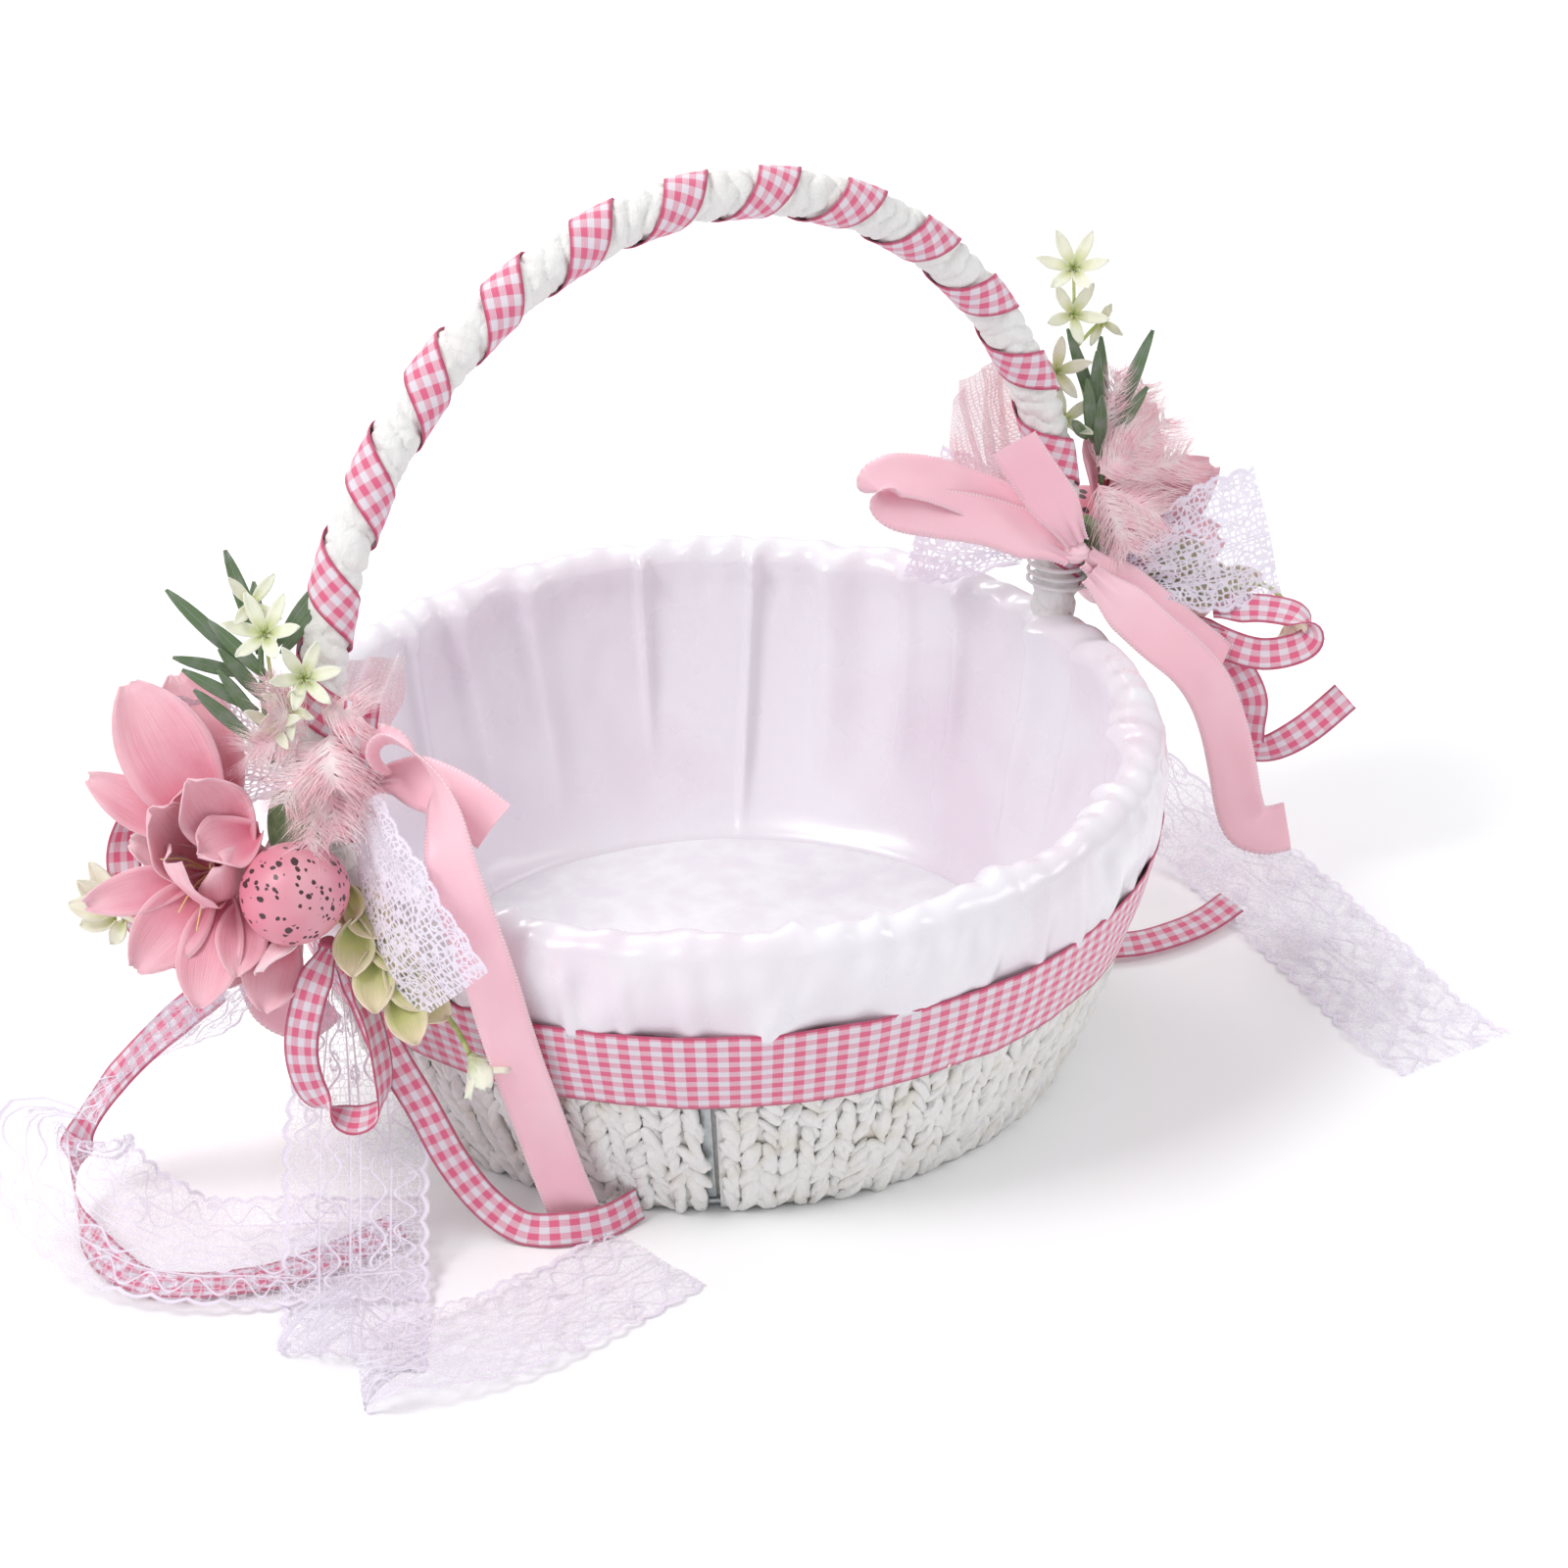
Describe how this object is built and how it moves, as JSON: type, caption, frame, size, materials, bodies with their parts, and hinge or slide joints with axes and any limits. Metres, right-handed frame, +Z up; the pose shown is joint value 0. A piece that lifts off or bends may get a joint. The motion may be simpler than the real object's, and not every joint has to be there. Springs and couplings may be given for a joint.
{
  "type": "flower girl basket",
  "caption": "Round woven paper-rope basket with satin liner, gingham band, ribbon-wrapped hoop handle and a silk flower spray with bows at each side.",
  "frame": {"origin": "centre of the flat woven base, on the surface it stands on", "axes": "+Z up; the hoop handle runs over X with a flower spray at -X and +X; +Y is the side the handle leans to"},
  "size_m": [0.4579, 0.2869, 0.2765],
  "materials": {
    "paper_rope": "twisted white paper rope",
    "card": "plain card",
    "wadding": "polyester wadding",
    "satin_white": "white satin",
    "felt_white": "brushed white fabric",
    "gingham": "pink and white gingham check",
    "wire": "galvanised wire and strip",
    "satin_pink": "pale pink satin ribbon",
    "lace": "white lace ribbon",
    "tulle": "sheer organza",
    "petal": "dusty pink silk petal",
    "stamen": "waxed thread",
    "egg": "pink with dark speckles",
    "leaf": "dark green moulded leaf",
    "pale_flower": "cream and pale green moulded petals",
    "hop": "green to cream moulded scales",
    "feather": "pale pink marabou"
  },
  "bodies": {
    "root": {"base_weave": "paper_rope", "base_board": "card", "floor_pad": "wadding", "floor_cover": "felt_white", "base_hoop": "wire", "rim_hoop": "wire", "uprights": "wire", "wall_weave_outer": "paper_rope", "wall_weave_inner": "paper_rope", "rim_border": "paper_rope", "satin_liner": "satin_white", "band_ribbon": "gingham", "handle_core": "wire", "handle_wrap": "paper_rope", "handle_ribbon": "gingham", "left_tie_wire": "wire", "left_spray_pad": "felt_white", "left_magnolia_outer": "petal", "left_magnolia_inner": "petal", "left_magnolia_stamens": "stamen", "left_blossom": "petal", "left_egg": "egg", "left_rosemary": "leaf", "left_star_flowers": "pale_flower", "left_hop_sprig": "hop", "left_hanging_blossom": "pale_flower", "left_bud_sprig": "pale_flower", "left_feathers": "feather", "left_tulle": "tulle", "left_satin_bow": "satin_pink", "left_gingham_bow": "gingham", "left_lace_bow": "lace", "left_lace_tails": "lace", "right_tie_wire": "wire", "right_spray_pad": "felt_white", "right_magnolia_outer": "petal", "right_magnolia_inner": "petal", "right_magnolia_stamens": "stamen", "right_blossom": "petal", "right_egg": "egg", "right_rosemary": "leaf", "right_star_flowers": "pale_flower", "right_hop_sprig": "hop", "right_hanging_blossom": "pale_flower", "right_bud_sprig": "pale_flower", "right_feathers": "feather", "right_tulle": "tulle", "right_satin_bow": "satin_pink", "right_gingham_bow": "gingham", "right_lace_bow": "lace", "right_lace_tails": "lace"}
  },
  "joints": []
}
